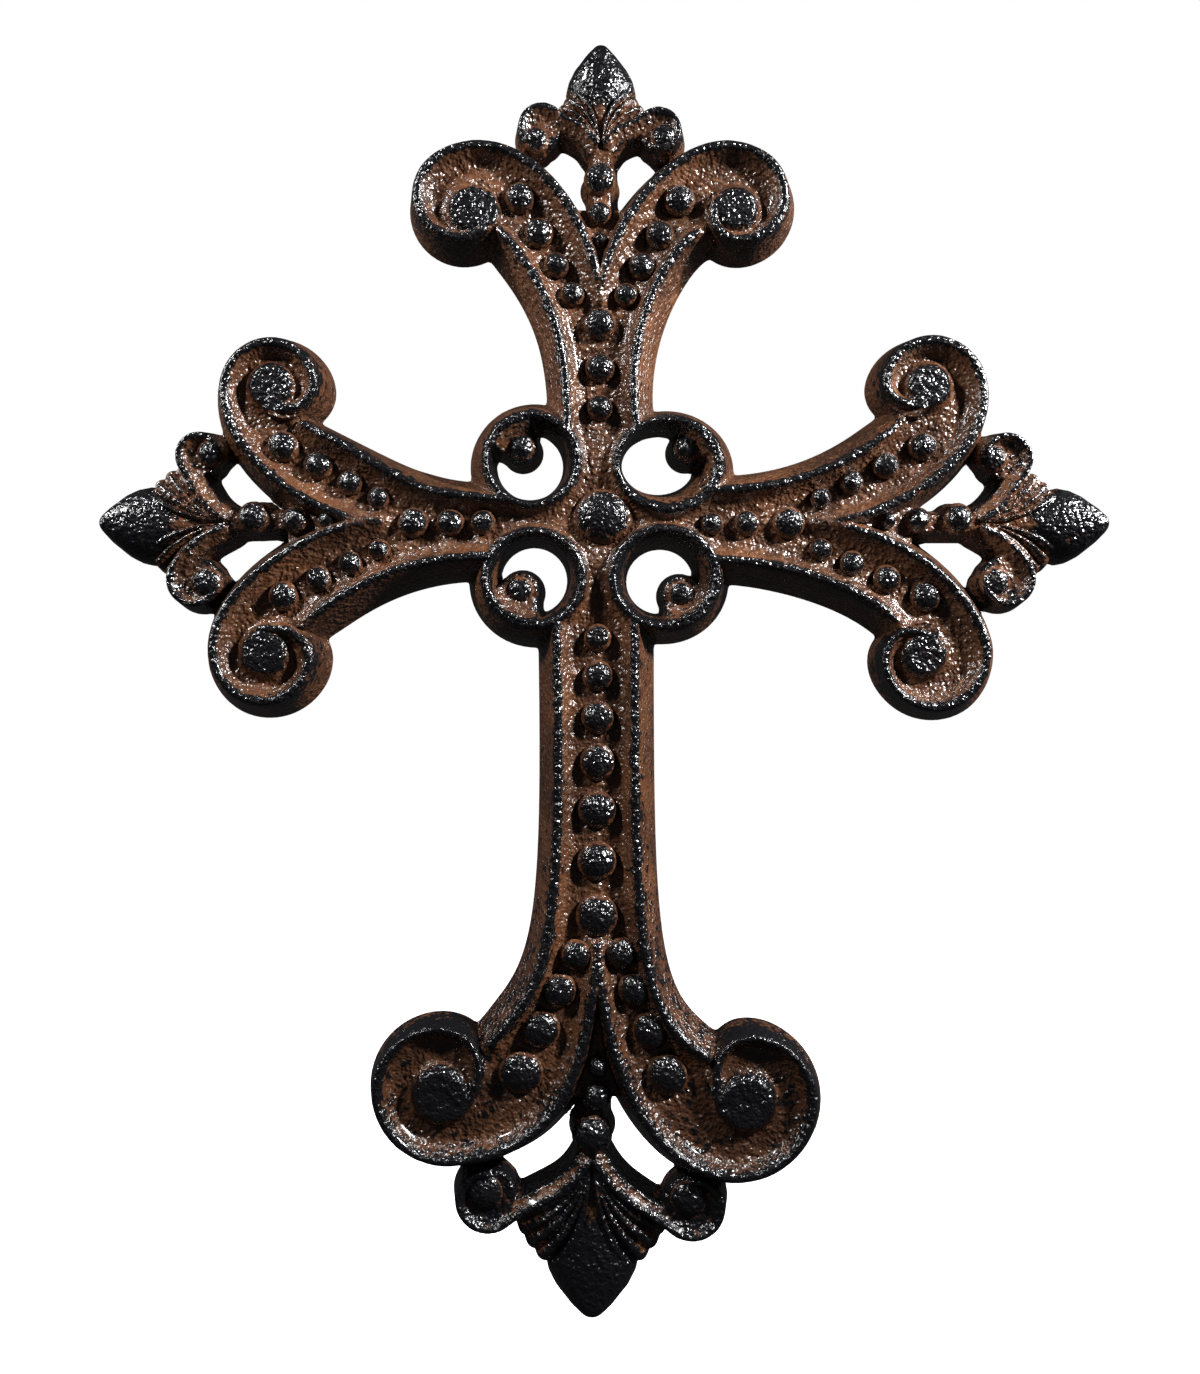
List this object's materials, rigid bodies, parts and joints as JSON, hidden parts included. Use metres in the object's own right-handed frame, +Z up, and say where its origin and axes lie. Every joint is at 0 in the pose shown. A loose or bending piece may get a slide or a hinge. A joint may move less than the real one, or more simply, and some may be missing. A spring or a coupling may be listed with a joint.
{
  "type": "wall cross",
  "caption": "Flat-backed cast wall cross with scrolled arms, beaded channels, a ringed crossing and a palmette on each end, made to hang on a wall.",
  "frame": {"origin": "on the flat back, at the centre of the crossing, where the cross lies against the wall", "axes": "+X to the right of a person facing the cross, +Y into the wall, +Z up along the stem; the face looks along -Y"},
  "size_m": [0.2406, 0.0135, 0.303],
  "materials": {
    "iron": "sand-cast iron, brown rust patina with black rubbed onto the high edges, satin"
  },
  "bodies": {
    "root": {"cross": "iron"}
  },
  "joints": []
}
